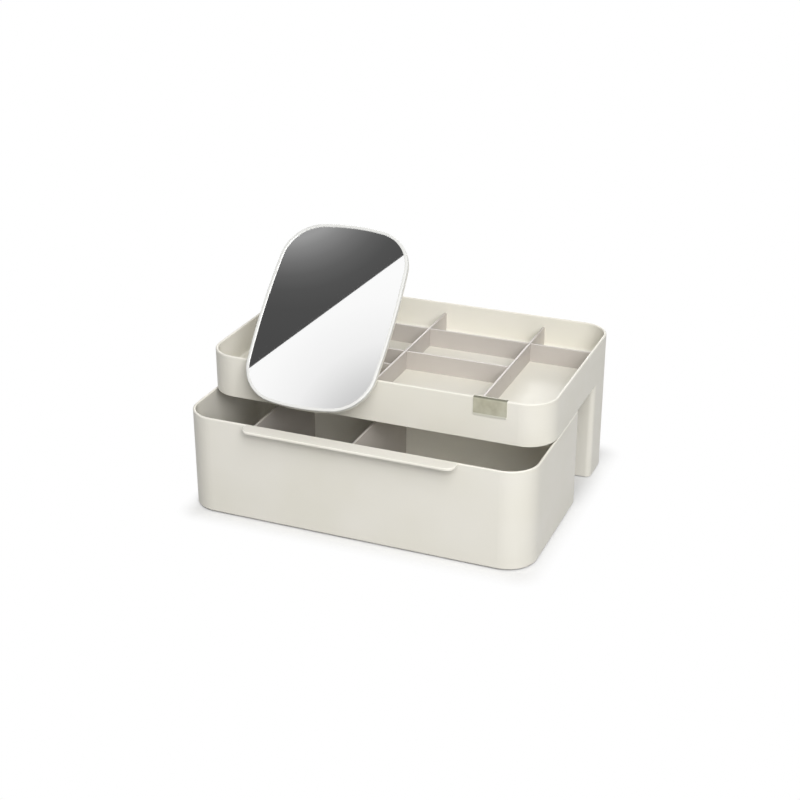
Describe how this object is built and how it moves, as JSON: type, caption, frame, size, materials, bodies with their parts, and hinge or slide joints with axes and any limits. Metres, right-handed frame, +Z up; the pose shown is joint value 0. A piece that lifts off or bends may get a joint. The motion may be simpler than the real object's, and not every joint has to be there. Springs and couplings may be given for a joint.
{
  "type": "makeup organiser with mirror",
  "caption": "Free-standing makeup organiser: divided tray on a rear pedestal, drawer that slides out from under it, and a tilting mirror on a lift-off rim clip.",
  "frame": {"origin": "on the table, under the middle of the whole object with the drawer part open as in the rest pose", "axes": "+X to the right along the front, +Y to the back, +Z up"},
  "size_m": [0.32, 0.258, 0.2368],
  "materials": {
    "cream_plastic": "satin, warm cream",
    "ring_plastic": "glossy, warm white",
    "tag_metal": "polished, plain",
    "mirror_silver": "silvered glass",
    "foot_rubber": "matte",
    "pad_rubber": "matte",
    "runner_plastic": "smooth, slippery",
    "screw_steel": "plain steel",
    "tape_foam": "foam"
  },
  "bodies": {
    "organiser": {"organiser_shell": "cream_plastic", "base_plate": "cream_plastic", "base_screws": "screw_steel", "base_feet": "foot_rubber", "long_divider_left": "cream_plastic", "long_divider_middle": "cream_plastic", "long_divider_right": "cream_plastic", "rear_row_divider": "cream_plastic", "middle_row_divider": "cream_plastic", "front_row_divider": "cream_plastic", "rim_tag": "tag_metal"},
    "drawer": {"drawer_tub": "cream_plastic", "drawer_feet": "foot_rubber", "drawer_runners": "runner_plastic", "drawer_divider_left": "cream_plastic", "drawer_divider_middle": "cream_plastic"},
    "mirror_clip": {"rim_clip": "cream_plastic", "clip_pads": "pad_rubber", "hinge_pin": "screw_steel", "hinge_washers": "runner_plastic"},
    "mirror": {"mirror_bracket": "cream_plastic", "bracket_screws": "screw_steel", "mirror_back": "cream_plastic", "mirror_frame": "ring_plastic", "mirror_glass": "mirror_silver", "glass_tape": "tape_foam"}
  },
  "joints": [
    {"name": "drawer_slide", "type": "slide", "parent": "organiser", "child": "drawer", "axis": [0, -1, 0], "range_m": [-0.046, 0.0566]},
    {"name": "mirror_lift", "type": "slide", "parent": "organiser", "child": "mirror_clip", "axis": [0, 0, 1], "range_m": [0, 0.03]},
    {"name": "mirror_tilt", "type": "hinge", "parent": "mirror_clip", "child": "mirror", "pos_m": [-0.0525, -0.0777, 0.12325], "axis": [1, 0, 0], "range_deg": [0, 42]}
  ]
}
